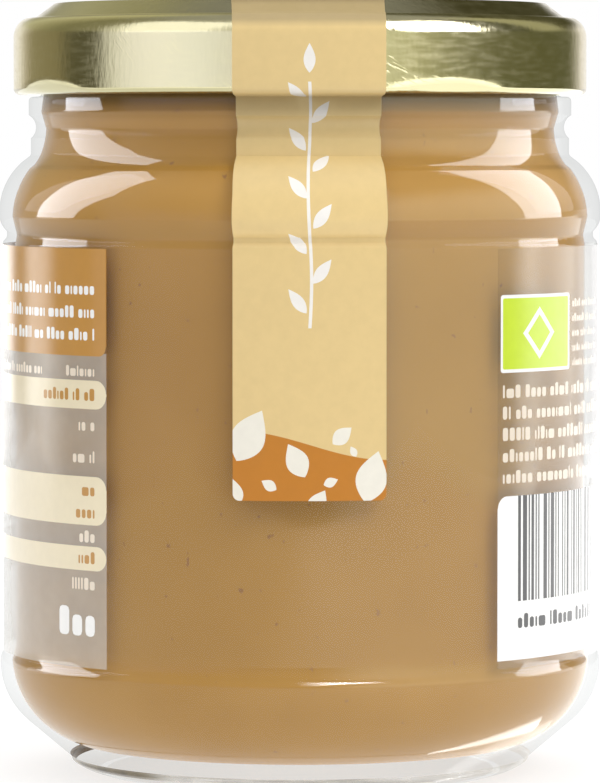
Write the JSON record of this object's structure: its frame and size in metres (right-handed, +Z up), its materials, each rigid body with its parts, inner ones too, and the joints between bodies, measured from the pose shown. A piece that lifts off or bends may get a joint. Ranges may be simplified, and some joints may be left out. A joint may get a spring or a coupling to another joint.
{
  "type": "jar of almond butter",
  "caption": "Round clear glass jar of tan nut butter with a twist-off metal lid, a paper seal strip over the lid and a clear printed label wrapped round the far side.",
  "frame": {"origin": "middle of the foot, on the surface the jar stands on", "axes": "+Z up along the jar's axis, -Y to the front where the seal strip runs down, +X to the right seen from the front"},
  "size_m": [0.0642, 0.0645, 0.0822],
  "materials": {
    "glass": "clear moulded glass",
    "butter": "smooth ground almond butter, stands in for food",
    "lid_metal": "pale gold lacquered tinplate",
    "strip_paper": "printed satin paper",
    "label": "clear film with printed fields"
  },
  "bodies": {
    "root": {"glass_jar": "glass", "almond_butter": "butter", "lid": "lid_metal", "seal_strip": "strip_paper", "label_film": "label"}
  },
  "joints": []
}
